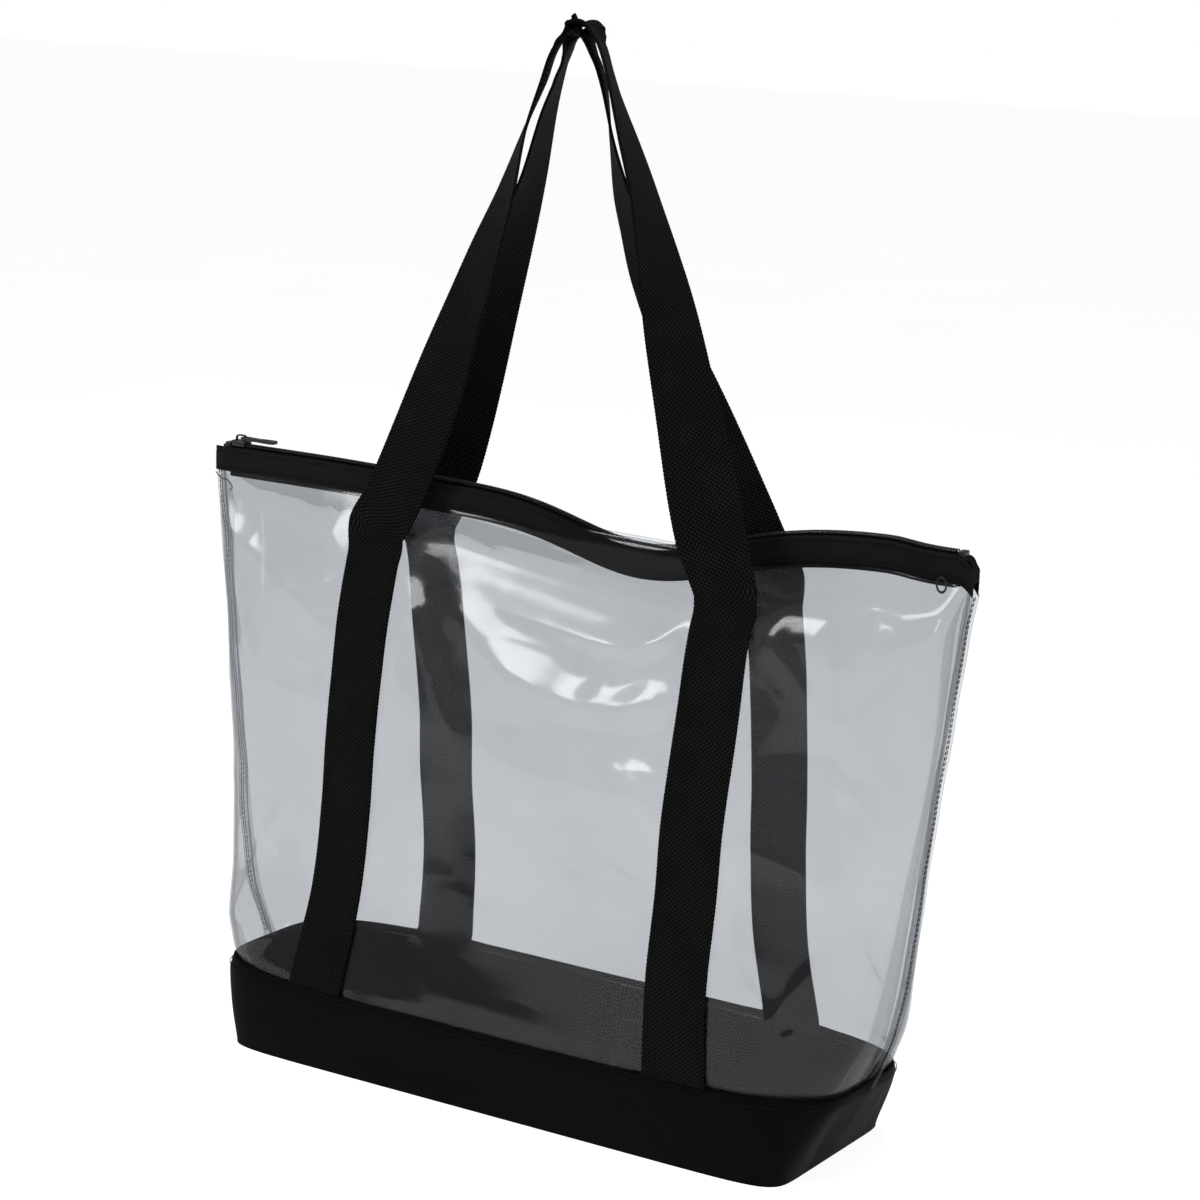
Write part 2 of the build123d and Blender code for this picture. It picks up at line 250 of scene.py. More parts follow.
def back_vinyl_points(turn, z, out=0.0):
    """The back panel, the front one turned half round, with creases of its own."""
    points = panel_point(turn, z, out)
    x = -points[..., 0]
    height = z + top_sag(x) * sag_share(z)
    relief = panel_relief(x, height, BACK_FOLDS, 21.0) + drape(x, height, 48, 335, 80, 10, 2.6)
    relief *= edge_fade(turn, z) * (1 - 0.85 * under_strap(x))
    return np.stack([x, -points[..., 1] + relief, height], axis=-1)


# ---------------------------------------------------------------- mesh building
def grid_faces(rows, columns, start=0, ring=False, closed=False):
    """Quads over a grid of points; ring joins its last column to its first, closed its last row."""
    faces = []
    for i in range(rows if closed else rows - 1):
        here, there = start + i * columns, start + (i + 1) % rows * columns
        for j in range(columns if ring else columns - 1):
            k = (j + 1) % columns
            faces.append((here + j, here + k, there + k, there + j))
    return faces


def directions(count):
    """(cosine, sine) pairs spaced evenly round a circle."""
    turns = [2 * math.pi * i / count for i in range(count)]
    return [(math.cos(turn), math.sin(turn)) for turn in turns]


def mesh_object(name, verts, faces, material, uvs=None, flat_faces=()):
    """A mesh object from points in millimetres, smooth but for the faces listed as flat."""
    mesh = bpy.data.meshes.new(name)
    mesh.from_pydata([tuple(float(c) * MM for c in v) for v in verts], [], faces)
    shape = bmesh.new()
    shape.from_mesh(mesh)
    bmesh.ops.recalc_face_normals(shape, faces=shape.faces[:])
    shape.to_mesh(mesh)
    shape.free()
    mesh.update()
    smooth = np.ones(len(mesh.polygons), bool)
    smooth[list(flat_faces)] = False
    mesh.polygons.foreach_set("use_smooth", smooth)
    if uvs is not None:
        layer = mesh.uv_layers.new(name="UVMap")
        index = np.zeros(len(mesh.loops), int)
        mesh.loops.foreach_get("vertex_index", index)
        layer.data.foreach_set("uv", np.asarray(uvs, np.float32)[index].ravel())
    mesh.materials.append(material)
    piece = bpy.data.objects.new(name, mesh)
    bpy.context.scene.collection.objects.link(piece)
    return piece


def sheet_object(name, inner, outer, material, uv=None, ring=False):
    """A closed thin sheet between two grids of points; ring joins its last column to its first."""
    rows, columns = inner.shape[:2]
    verts = np.concatenate([inner.reshape(-1, 3), outer.reshape(-1, 3)])
    half = rows * columns
    faces, flat, border = [], [], []
    for a, b, c, d in grid_faces(rows, columns, ring=ring):
        faces.append((a, b, c, d))
        faces.append((half + d, half + c, half + b, half + a))
    last = (rows - 1) * columns
    for j in range(columns if ring else columns - 1):
        k = (j + 1) % columns
        border.append((k, j))
        border.append((last + j, last + k))
    if not ring:
        for i in range(rows - 1):
            border.append((i * columns, (i + 1) * columns))
            border.append(((i + 2) * columns - 1, (i + 1) * columns - 1))
    for a, b in border:
        flat.append(len(faces))
        faces.append((a, b, half + b, half + a))
    uvs = None if uv is None else np.concatenate([uv.reshape(-1, 2)] * 2)
    return mesh_object(name, verts, faces, material, uvs, flat)


def tube_object(name, rings, material, uvs=None):
    """A closed skin over rings of points, an array of rings by points by 3."""
    count, size = rings.shape[:2]
    faces = grid_faces(count, size, ring=True)
    flat = [len(faces), len(faces) + 1]
    faces.append(tuple(range(size - 1, -1, -1)))
    faces.append(tuple((count - 1) * size + j for j in range(size)))
    return mesh_object(name, rings.reshape(-1, 3), faces, material, uvs, flat)


def many_copies(name, shape, places, material):
    """One mesh of many copies of a small shape: places are 4x4 arrays."""
    verts, faces = shape
    solid = np.c_[verts, np.ones(len(verts))]
    all_verts = np.concatenate([(solid @ np.asarray(m).T)[:, :3] for m in places])
    all_faces = []
    for i in range(len(places)):
        all_faces.extend(tuple(i * len(verts) + v for v in face) for face in faces)
    return mesh_object(name, all_verts, all_faces, material)


def capsule(length, radius, flatness=0.8, sides=8):
    """A rounded bar along X, flattened along Z: one stitch."""
    stations = [(-0.5, 0.25), (-0.42, 0.75), (-0.25, 1.0), (0.25, 1.0), (0.42, 0.75), (0.5, 0.25)]
    verts = []
    for place, share in stations:
        reach = radius * share
        verts += [(place * length, reach * y, reach * flatness * z) for y, z in directions(sides)]
    faces = [(a, d, c, b) for a, b, c, d in grid_faces(len(stations), sides, ring=True)]
    faces.append(tuple(range(sides)))
    last = (len(stations) - 1) * sides
    faces.append(tuple(last + j for j in reversed(range(sides))))
    return np.array(verts), faces


def placed(point, tangent, normal):
    """A matrix that lays X along a tangent and Z along a normal at a point."""
    x = np.asarray(tangent, float)
    x = x / np.linalg.norm(x)
    z = np.asarray(normal, float)
    z = z - x * (z @ x)
    z = z / np.linalg.norm(z)
    matrix = np.eye(4)
    matrix[:3, 0], matrix[:3, 1], matrix[:3, 2], matrix[:3, 3] = x, np.cross(z, x), z, point
    return matrix


def evenly(points, pitch):
    """(point, tangent) pairs spaced evenly along a line of points."""
    points = np.asarray(points, float)
    steps = np.linalg.norm(np.diff(points, axis=0), axis=1)
    reach = np.concatenate([[0], np.cumsum(steps)])
    count = max(1, int(reach[-1] / pitch))

    def point(place):
        return np.array([np.interp(place, reach, points[:, axis]) for axis in range(3)])

    places = [(i + 0.5) * reach[-1] / count for i in range(count)]
    return [(point(place), point(place + 0.3) - point(place - 0.3)) for place in places]


def stitch_row(name, points, normals, pitch, radius):
    """Separate stitches along a line of points; normals is one direction or one for each point."""
    normals = np.asarray(normals, float)
    if normals.ndim == 1:
        normals = np.repeat(normals[None], len(points), axis=0)
    places = []
    points = np.asarray(points, float)
    for middle, tangent in evenly(points, pitch):
        near = normals[np.argmin(np.linalg.norm(points - middle, axis=1))]
        places.append(placed(middle, tangent, near))
    return many_copies(name, capsule(pitch * 0.86, radius), places, THREAD)


def joined(name, pieces):
    """One object from several."""
    bpy.ops.object.select_all(action="DESELECT")
    for piece in pieces:
        piece.select_set(True)
    bpy.context.view_layer.objects.active = pieces[0]
    bpy.ops.object.join()
    pieces[0].name = name
    pieces[0].data.name = name
    return pieces[0]


# ---------------------------------------------------------------- materials
class Graph:
    """A material's node tree, with short calls for its nodes."""

    def __init__(self, name):
        self.material = bpy.data.materials.new(name)
        self.material.use_nodes = True
        self.tree = self.material.node_tree
        self.tree.nodes.clear()
        self.output = self.node("ShaderNodeOutputMaterial")

    def node(self, kind, **settings):
        made = self.tree.nodes.new(kind)
        for key, value in settings.items():
            setattr(made, key, value)
        return made

    def link(self, source, target):
        self.tree.links.new(source, target)

    def feed(self, socket, value):
        if isinstance(value, bpy.types.NodeSocket):
            self.link(value, socket)
        else:
            socket.default_value = value

    def math(self, operation, *values):
        made = self.node("ShaderNodeMath", operation=operation)
        for socket, value in zip(made.inputs, values):
            self.feed(socket, value)
        return made.outputs[0]

    def place(self, kind="Object"):
        """The three coordinates, in metres, of the object or of its UV map."""
        coordinates = self.node("ShaderNodeTexCoord")
        split = self.node("ShaderNodeSeparateXYZ")
        self.link(coordinates.outputs[kind], split.inputs[0])
        return coordinates.outputs[kind], split.outputs

    def noise(self, place, scale, detail=3.0, roughness=0.55):
        made = self.node("ShaderNodeTexNoise")
        self.link(place, made.inputs["Vector"])
        made.inputs["Scale"].default_value = scale
        made.inputs["Detail"].default_value = detail
        made.inputs["Roughness"].default_value = roughness
        return made.outputs["Fac"]

    def wave(self, coordinate, pitch, phase=0.0):
        """A sine of one coordinate with the given pitch in metres."""
        turned = self.math("MULTIPLY_ADD", coordinate, 2 * math.pi / pitch, phase)
        return self.math("SINE", turned)

    def ramp(self, value, stops):
        made = self.node("ShaderNodeValToRGB")
        self.link(value, made.inputs[0])
        elements = made.color_ramp.elements
        while len(elements) < len(stops):
            elements.new(0.5)
        for element, (position, colour) in zip(elements, stops):
            element.position = position
            element.color = (*colour, 1.0)
        return made.outputs["Color"]

    def bump(self, height, distance, strength):
        made = self.node("ShaderNodeBump")
        made.inputs["Distance"].default_value = distance
        made.inputs["Strength"].default_value = strength
        self.link(height, made.inputs["Height"])
        return made.outputs["Normal"]

    def principled(self, **values):
        made = self.node("ShaderNodeBsdfPrincipled")
        for key, value in values.items():
            self.feed(made.inputs[key.replace("_", " ")], value)
        return made

    def finish(self, shader):
        self.link(shader.outputs[0], self.output.inputs["Surface"])
        return self.material


def webbing_material():
    """Black webbing: columns of short picks, each column half a pick out of step, with the raised yarns
    painted lighter as a painted highlight, and dusted by wear.
    """
    g = Graph("webbing_black")
    place, uv = g.place("UV")
    across, length = uv[0], uv[1]
    column_width, pick_length = 0.00145, 0.0025
    column = g.math("FLOOR", g.math("MULTIPLY", across, 1 / column_width))
    odd = g.math("MULTIPLY", g.math("MODULO", column, 2.0), math.pi)
    rib = g.math("ABSOLUTE", g.math("SINE", g.math("MULTIPLY", across, math.pi / column_width)))
    pick = g.math("SINE", g.math("ADD", g.math("MULTIPLY", length, 2 * math.pi / pick_length), odd))
    yarn = g.math("MULTIPLY", rib, g.math("MULTIPLY_ADD", pick, 0.5, 0.5))
    fibres = g.noise(place, 2600.0, 2.0)
    height = g.math("ADD", yarn, g.math("MULTIPLY", fibres, 0.25))
    patch = g.noise(place, 45.0, 3.0)
    # tone: the raised yarns painted lighter (a painted highlight), plus random patches of wear
    tone = g.math("MULTIPLY_ADD", yarn, 0.6, g.math("MULTIPLY", patch, 0.3))
    colour = g.ramp(tone, [(0.35, (0.0006, 0.0006, 0.0007)), (0.85, (0.019, 0.019, 0.0195))])
    normal = g.bump(height, 0.0007, 1.0)
    return g.finish(g.principled(Base_Color=colour, Roughness=0.75, Normal=normal, Specular_IOR_Level=0.05))


def cloth_material(name, thread, tone, roughness, distance, shine=0.05):
    """Plain-woven black cloth, with a fine grid of threads painted slightly lighter where they rise (a
    painted highlight), and soft rubbed patches.
    """
    g = Graph(name)
    place, axis = g.place("UV")
    warp = g.wave(axis[0], thread)
    weft = g.wave(axis[1], thread)
    weave = g.math("MULTIPLY", warp, weft)
    slub = g.noise(place, 700.0, 2.0)
    height = g.math("MULTIPLY_ADD", weave, 0.5, slub)
    rubbed = g.noise(place, 30.0, 4.0)
    # the raised threads painted slightly lighter: a painted highlight; the rubbed patches vary the tone at
    # random
    mixed = g.math("MULTIPLY_ADD", weave, 0.08, rubbed)
    colour = g.ramp(mixed, [(0.3, tuple(tone * k for k in (0.75, 0.75, 0.8))), (0.75, (tone * 1.35,) * 3)])
    rough = g.math("MULTIPLY_ADD", rubbed, 0.12, roughness - 0.06)
    normal = g.bump(height, distance, 0.7)
    return g.finish(g.principled(Base_Color=colour, Roughness=rough, Normal=normal, Specular_IOR_Level=shine))


def vinyl_material():
    """Clear flexible vinyl: see-through with a grey cast, glossy, denser when seen edge-on."""
    g = Graph("vinyl_clear")
    place, _ = g.place("Object")
    haze = g.noise(place, 9.0, 4.0)
    ripple_height = g.noise(place, 38.0, 1.0)
    rough = g.math("MULTIPLY_ADD", haze, 0.14, 0.06)
    normal = g.bump(ripple_height, 0.0005, 0.35)
    body = g.principled(Base_Color=(0.03, 0.03, 0.033, 1.0), Roughness=rough, Normal=normal, IOR=2.2)
    clear = g.node("ShaderNodeBsdfTransparent")
    clear.inputs["Color"].default_value = (0.905, 0.917, 0.93, 1.0)
    rim = g.node("ShaderNodeLayerWeight")
    rim.inputs["Blend"].default_value = 0.12
    cloud = g.math("MULTIPLY_ADD", haze, 0.06, 0.09)
    density = g.math("MULTIPLY_ADD", rim.outputs["Fresnel"], 0.3, cloud)
    mixed = g.node("ShaderNodeMixShader")
    g.link(g.math("MINIMUM", density, 1.0), mixed.inputs[0])
    g.link(clear.outputs[0], mixed.inputs[1])
    g.link(body.outputs[0], mixed.inputs[2])
    return g.finish(mixed)


def coil_material():
    """Black nylon coil with a soft shine."""
    g = Graph("coil_nylon")
    place, _ = g.place("Object")
    grain = g.noise(place, 1500.0, 2.0)
    colour = g.ramp(grain, [(0.3, (0.003, 0.003, 0.0033)), (0.8, (0.008, 0.008, 0.009))])
    normal = g.bump(grain, 0.00005, 0.4)
    return g.finish(g.principled(Base_Color=colour, Roughness=0.36, Normal=normal, Specular_IOR_Level=0.25))


def slider_material():
    """Black painted zinc, with the paint thinned to grey metal where fingers rub it."""
    g = Graph("slider_paint")
    place, _ = g.place("Object")
    speck = g.noise(place, 900.0, 3.0)
    wear_place = g.noise(place, 260.0, 4.0)
    wear = g.ramp(wear_place, [(0.62, (0.0, 0.0, 0.0)), (0.72, (1.0, 1.0, 1.0))])
    paint = g.ramp(speck, [(0.3, (0.004, 0.004, 0.0045)), (0.8, (0.009, 0.009, 0.010))])
    mix = g.node("ShaderNodeMix", data_type="RGBA")
    g.link(g.math("MULTIPLY", wear, 0.15), mix.inputs["Factor"])
    g.link(paint, mix.inputs["A"])
    mix.inputs["B"].default_value = (0.12, 0.12, 0.125, 1.0)
    rough = g.math("MULTIPLY_ADD", speck, 0.15, 0.22)
    shader = g.principled(
        Base_Color=mix.outputs["Result"],
        Roughness=rough,
        Normal=g.bump(speck, 0.00004, 0.5),
        Specular_IOR_Level=0.25,
        Coat_Weight=0.12,
        Coat_Roughness=0.15,
    )
    return g.finish(shader)


def thread_material():
    """Black polyester thread, finely twisted, with the raised turns of the twist painted lighter as a painted
    highlight.
    """
    g = Graph("thread_black")
    place, axis = g.place("Object")
    twist = g.wave(g.math("ADD", axis[0], axis[2]), 0.0006)
    # colour follows the twist: the raised turns painted lighter, a painted highlight
    colour = g.ramp(g.math("MULTIPLY_ADD", twist, 0.5, 0.5), [(0.0, (0.0015,) * 3), (1.0, (0.006,) * 3)])
    normal = g.bump(twist, 0.00008, 0.6)
    return g.finish(g.principled(Base_Color=colour, Roughness=0.6, Normal=normal, Specular_IOR_Level=0.06))


def floor_material():
    """Pale seamless studio paper, lit from beneath as a light table is."""
    g = Graph("studio_paper")
    place, _ = g.place("Object")
    mottle = g.noise(place, 3.0, 3.0)
    colour = g.ramp(mottle, [(0.2, (0.36, 0.36, 0.36)), (0.8, (0.4, 0.4, 0.4))])
    glow = {"Emission_Color": (1, 1, 1, 1), "Emission_Strength": 0.82}
    return g.finish(g.principled(Base_Color=colour, Roughness=0.9, **glow))


WEBBING = webbing_material()
BASE_CLOTH = cloth_material("base_polyester", 0.0009, 0.002, 0.62, 0.00016, 0.03)
BAND_CLOTH = cloth_material("band_binding", 0.0011, 0.0035, 0.7, 0.0002, 0.08)
TAPE_CLOTH = cloth_material("zip_tape_weave", 0.0007, 0.004, 0.75, 0.00015, 0.06)
CLEAR_VINYL = vinyl_material()
COIL = coil_material()
SLIDER = slider_material()
THREAD = thread_material()


def settle(piece, body, slot, *nodes):
    """The piece rides on a body and stands for CAD nodes, which it hides; the slot argument is not used."""
    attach(piece, body)
    if nodes:
        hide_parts(*nodes)


# ---------------------------------------------------------------- camera, lights and floor
def make_camera():
    """The camera stands to the front right of the bag, a little above it, and rolls slightly."""
    azimuth, elevation, roll = math.radians(32.15), math.radians(12.9), math.radians(2.26)
    target, distance = Vector((0, 0, 0.25)), 1.7507
    aim_right, aim_up = 0.0112, 0.0188
    away = Vector((
        math.sin(azimuth) * math.cos(elevation),
        -math.cos(azimuth) * math.cos(elevation),
        math.sin(elevation),
    ))
    right = Vector((math.cos(azimuth), math.sin(azimuth), 0))
    up = away.cross(right)
    right, up = (
        right * math.cos(roll) + up * math.sin(roll),
        up * math.cos(roll) - right * math.sin(roll),
    )
    back = (away - right * aim_right - up * aim_up).normalized()
    right = (right - back * right.dot(back)).normalized()
    data = bpy.data.cameras.new("camera")
    data.sensor_width = 36.0
    data.lens = data.sensor_width * 2.602
    data.clip_start = 0.05
    camera = bpy.data.objects.new("camera", data)
    bpy.context.scene.collection.objects.link(camera)
    basis = Matrix((right, back.cross(right), back)).transposed().to_4x4()
    camera.matrix_world = Matrix.Translation(target + away * distance) @ basis
    bpy.context.scene.camera = camera


def area_light(name, place, target, size, power):
    """A soft rectangular light aimed at a point."""
    data = bpy.data.lights.new(name, "AREA")
    data.shape = "RECTANGLE"
    data.size, data.size_y = size
    data.energy = power
    light = bpy.data.objects.new(name, data)
    bpy.context.scene.collection.objects.link(light)
    light.location = place
    light.rotation_euler = (Vector(target) - Vector(place)).to_track_quat("-Z", "Y").to_euler()


def make_studio():
    """A white surround, dimmer as a light than it looks, a pale floor and soft boxes."""
    world = bpy.data.worlds.new("studio")
    world.use_nodes = True
    tree = world.node_tree
    tree.nodes["Background"].inputs[0].default_value = (1.0, 1.0, 1.0, 1.0)
    rays = tree.nodes.new("ShaderNodeLightPath")
    strength = tree.nodes.new("ShaderNodeMapRange")
    strength.inputs["To Min"].default_value = 0.35
    strength.inputs["To Max"].default_value = 1.0
    tree.links.new(rays.outputs["Is Camera Ray"], strength.inputs["Value"])
    tree.links.new(strength.outputs["Result"], tree.nodes["Background"].inputs[1])
    bpy.context.scene.world = world
    area_light("key", (-1.1, -1.5, 1.5), (0, 0, 0.2), (0.5, 1.1), 22)
    area_light("side", (1.6, -0.5, 0.9), (0, 0, 0.2), (0.35, 1.1), 15)
    area_light("top", (0.1, -0.2, 1.9), (0, 0, 0.3), (0.9, 0.35), 10)
    reach = 12000
    corners = [(-reach, -reach, 0), (reach, -reach, 0), (reach, reach, 0), (-reach, reach, 0)]
    mesh_object("floor", corners, [(0, 1, 2, 3)], floor_material())
    bpy.context.scene.view_settings.view_transform = "Standard"


make_camera()
make_studio()


# ---------------------------------------------------------------- vinyl panels
def panel_grid(surface, columns=300, rows=200):
    """The two faces of a vinyl panel, in millimetres."""
    turn = np.linspace(0, math.pi, columns)
    heights = np.linspace(BASE_TOP - 4, PANEL_TOP, rows)
    turns, z = np.meshgrid(turn, heights)
    z_shape = np.maximum(z, BASE_TOP)
    tucked = -1.7 * np.clip((BASE_TOP + 7 - z) / 9, 0, 1)
    inner, outer = surface(turns, z_shape, tucked), surface(turns, z_shape, tucked + VINYL)
    for face in (inner, outer):
        face[..., 2] += np.minimum(z - BASE_TOP, 0)
    return inner, outer


def make_panels():
    pieces = []
    for name, surface, node in (
        ("front_vinyl", front_vinyl_points, "front_panel"),
        ("back_vinyl", back_vinyl_points, "back_panel"),
    ):
        inner, outer = panel_grid(surface)
        if name == "back_vinyl":
            inner, outer = outer, inner
        piece = sheet_object(name, outer, inner, CLEAR_VINYL)
        settle(piece, "bag", "clear_vinyl", node)
        pieces.append(piece)
    return pieces


front_vinyl, back_vinyl = make_panels()


# ---------------------------------------------------------------- side seams
def seam_line(side, z, out):
    """A point of a side seam, out past the panels' ends."""
    x = along(HALF_LENGTH, z) + VINYL + out
    wobble = 0.8 * np.sin(z / 19.0 + side) + 0.5 * np.sin(z / 7.3)
    sag = top_sag(side * x) * sag_share(z)
    return np.stack([side * x, wobble, z + sag], axis=-1)


def make_side_seam(side, name, node, thread_name, thread_node):
    z = np.linspace(BASE_TOP - 2, BAND_LOW + 2, 160)
    outs = np.linspace(-1.2, 4.4, 5)
    face = np.stack([seam_line(side, z, out) for out in outs], axis=1)
    shift = np.array([0, 0.75, 0])
    piece = sheet_object(name, face - shift * side, face + shift * side, CLEAR_VINYL)
    settle(piece, "bag", "clear_vinyl", node)
    line = seam_line(side, np.linspace(BASE_TOP + 2, BAND_LOW, 200), 2.3)
    rows = [
        stitch_row(f"{thread_name}_{i}", line + shift * 1.25 * face_side, (0, face_side, 0), 3.0, 0.3)
        for i, face_side in enumerate((-1, 1))
    ]
    settle(joined(thread_name, rows), "bag", "thread", thread_node)


make_side_seam(-1, "left_seam_edge", "left_side_seam", "left_seam_stitches", "left_seam_thread")
make_side_seam(1, "right_seam_edge", "right_side_seam", "right_seam_stitches", "right_seam_thread")


# ---------------------------------------------------------------- base
def base_outline(turn, z, inset=0.0):
    """The boxed base's level outline, with soft faces and pinched lower corners."""
    share = z / BASE_TOP
    half_x = (BASE_LENGTH + (BASE_TOP_LENGTH - BASE_LENGTH) * share**1.15) / 2 - inset
    half_y = (BASE_DEPTH + (BASE_TOP_DEPTH - BASE_DEPTH) * share) / 2 - inset
    power = 2 / (12.0 + (4.2 - 12.0) * share**0.8)
    return half_x * squared_off(np.cos(turn), power), half_y * squared_off(np.sin(turn), power)


def clear_of_straps(x):
    """0 where webbing comes out of the base's seam and 1 away from it."""
    near = np.minimum(np.abs(x - STRAP_CENTRE), np.abs(x + STRAP_CENTRE))
    return np.clip((near - WEBBING_WIDTH / 2 - 1) / 10, 0, 1)


def base_relief(x, y, z):
    """Slack in the base cloth: slow waves that die out at the floor and at the seam."""
    around = np.arctan2(y * 2.6, x)
    level = np.sin(np.pi * np.clip(z / BASE_TOP, 0, 1))
    waves = 0.9 * np.sin(around * 5 + 0.6) + 0.5 * np.sin(around * 11 + 1.3) + 0.3 * np.sin(around * 23)
    return level * waves


def make_base():
    columns, rows = 720, 40
    turn = np.linspace(0, 2 * math.pi, columns, endpoint=False)
    turns, z = np.meshgrid(turn, np.linspace(0, BASE_TOP + 0.6, rows))
    faces = []
    for inset in (0.0, 1.3):
        x, y = base_outline(turns, np.minimum(z, BASE_TOP), inset)
        size = np.hypot(x, y)
        relief = base_relief(x, y, z)
        lip = 0.5 * np.exp(-(((z - (BASE_TOP - 3.2)) / 1.2) ** 2))
        tuck = RIM_TUCK * np.clip((z - BASE_TOP + 6) / 6, 0, 1) ** 2 * clear_of_straps(x)
        grow = (relief - lip - tuck) / size
        lift = np.maximum(z, 1.3 if inset else 0.0)
        faces.append(np.stack([x * (1 + grow), y * (1 + grow), lift], axis=-1))
    outer, inner = faces
    reach = np.linalg.norm(np.diff(outer[-1], axis=0, append=outer[-1][:1]), axis=1)
    uv_x = np.concatenate([[0], np.cumsum(reach)[:-1]]) * MM
    uv = np.stack(np.broadcast_arrays(uv_x[None, :], z * MM), axis=-1)
    wall = sheet_object("base_wall", outer, inner, BASE_CLOTH, uv, ring=True)
    bottoms = []
    for level, ring in ((0.0, outer[0]), (1.3, inner[0])):
        shares = np.linspace(0.0, 1.0, 26)
        bottom = ring[None, :, :] * shares[:, None, None]
        bottom[..., 2] = level
        bottoms.append(bottom)
    floor_uv = bottoms[0][..., :2] * MM
    bottom = sheet_object("base_bottom", bottoms[1], bottoms[0], BASE_CLOTH, floor_uv, ring=True)
    settle(joined("base_boot_cloth", [wall, bottom]), "bag", "base_fabric", "base_bottom", "base_wall")
    thread_z = BASE_TOP - 3.2
    x, y = base_outline(turn, np.full_like(turn, thread_z), -0.15)
    grow = base_relief(x, y, np.full_like(turn, thread_z)) / np.hypot(x, y)
    line = np.stack([x * (1 + grow), y * (1 + grow), np.full_like(turn, thread_z)], axis=-1)
    normals = np.stack([x, y * 6, np.zeros_like(x)], axis=-1)
    line, normals = np.concatenate([line, line[:1]]), np.concatenate([normals, normals[:1]])
    stitches = stitch_row("base_seam_stitches", line, normals, 3.4, 0.34)
    settle(stitches, "bag", "thread", "base_seam_thread")


make_base()


# ---------------------------------------------------------------- top band and zip
def half_turned(points):
    """Points of the front of the bag turned half round to its back; heights follow the sag there."""
    turned = points.copy()
    turned[..., 0] *= -1
    turned[..., 1] *= -1
    turned[..., 2] += top_sag(turned[..., 0]) - top_sag(points[..., 0])
    return turned


def band_profile():
    """The band's cross-section as (depth, height) pairs, folded thick at both edges."""
    outer, inner = 5.25, 4.15
    low, high = BAND_LOW, BAND_HIGH
    face = [(outer - 0.45, low), (outer - 0.1, low + 0.25), (outer + 0.12, low + 0.9)]
    face += [(outer + 0.05, low + 1.7), (outer - 0.22, low + 2.3), (outer + 0.02, low + 3.0)]
    face += [(outer + 0.16, z) for z in np.linspace(low + 4, high - 4.2, 6)]
    face += [(outer + 0.02, high - 3.2), (outer - 0.22, high - 2.5), (outer + 0.05, high - 1.8)]
    face += [(outer + 0.05, high - 0.8), (outer - 0.25, high - 0.2), (outer - 0.7, high)]
    face += [(inner, high - 0.4), (inner, low + 0.4)]
    return face


def band_wobble(x, z, seed):
    """Slack in the band, a little more towards its lower edge."""
    wave = 0.45 * np.sin(x / 23.0 + seed) + 0.3 * np.sin(x / 9.1 + 2 * seed) + 0.2 * np.sin(x / 4.3)
    return wave * (0.5 + 0.5 * (BAND_HIGH - z) / (BAND_HIGH - BAND_LOW))


def make_band(name, back, node, seed):
    x = np.linspace(-BAND_END, BAND_END, 700)
    profile = np.array(band_profile())
    y = -np.broadcast_to(profile[:, 0], (len(x), len(profile))).copy()
    z = np.broadcast_to(profile[:, 1], y.shape)
    y = y - band_wobble(x[:, None], z, seed) * 0.6
    pinch = np.clip((BAND_END - np.abs(x)) / 7, 0, 1)[:, None] ** 0.5
    y = y * (0.72 + 0.28 * pinch)
    rings = np.stack([np.broadcast_to(x[:, None], y.shape), y, z + top_sag(x)[:, None]], axis=-1)
    reach = np.concatenate([[0], np.cumsum(np.linalg.norm(np.diff(profile, axis=0), axis=1))])
    uv = np.stack(np.broadcast_arrays(x[:, None] * MM, reach[None, :] * MM), axis=-1)
    if back:
        rings = half_turned(rings)
    piece = tube_object(name, rings, BAND_CLOTH, uv.reshape(-1, 2))
    settle(piece, "bag", "band_fabric", node)


def make_band_stitches():
    rows = []
    x = np.linspace(-BAND_END + 3, BAND_END - 3, 600)
    for back, seed in ((False, 1.0), (True, 2.0)):
        for i, z in enumerate((BAND_LOW + 2.3, BAND_HIGH - 2.5)):
            y = -5.25 - 0.02 - band_wobble(x, z, seed) * 0.6
            line = np.stack([x, y, z + top_sag(x)], axis=-1)
            if back:
                line = half_turned(line)
            normal = (0, 1 if back else -1, 0)
            rows.append(stitch_row(f"band_row_{back}_{i}", line, normal, 3.0, 0.26))
    settle(joined("band_stitches", rows), "bag", "thread", "top_band_thread")


def make_tape(name, back, node):
    """The woven zip tape, standing behind the band up to the coil."""
    x = np.linspace(-ZIP_END, ZIP_END, 420)
    low, high = cad_size(node, 2)
    z = np.linspace(low, high, 8)
    xs, zs = np.meshgrid(x, z)
    outer = np.stack([xs, np.full_like(xs, -2.6), zs + top_sag(xs)], axis=-1)
    inner = np.stack([xs, np.full_like(xs, -1.7), zs + top_sag(xs)], axis=-1)
    if back:
        outer, inner = half_turned(outer), half_turned(inner)
    uv = np.stack([xs * MM, zs * MM], axis=-1)
    settle(sheet_object(name, outer, inner, TAPE_CLOTH, uv), "bag", "zip_tape", node)


def coil_tooth():
    """One turn of nylon coil: a flattened loop lying across the zip, with a swollen head."""
    steps, sides = 14, 6
    reach, rise, wire = 2.45, 0.82, 0.34
    verts = []
    for i, (cosine, sine) in enumerate(directions(steps)):
        centre = np.array([0.12 * sine, reach / 2 * cosine, rise * sine])
        outward = np.array([0, cosine * rise, sine * reach / 2])
        outward = outward / np.linalg.norm(outward)
        swell = 1 + 0.35 * math.exp(-(((2 * i / steps - 1) * math.pi / 0.7) ** 2))
        for out, along_zip in directions(sides):
            verts.append(centre + wire * (outward * out + np.array([along_zip * swell, 0, 0])))
    return np.array(verts), grid_faces(steps, sides, ring=True, closed=True)


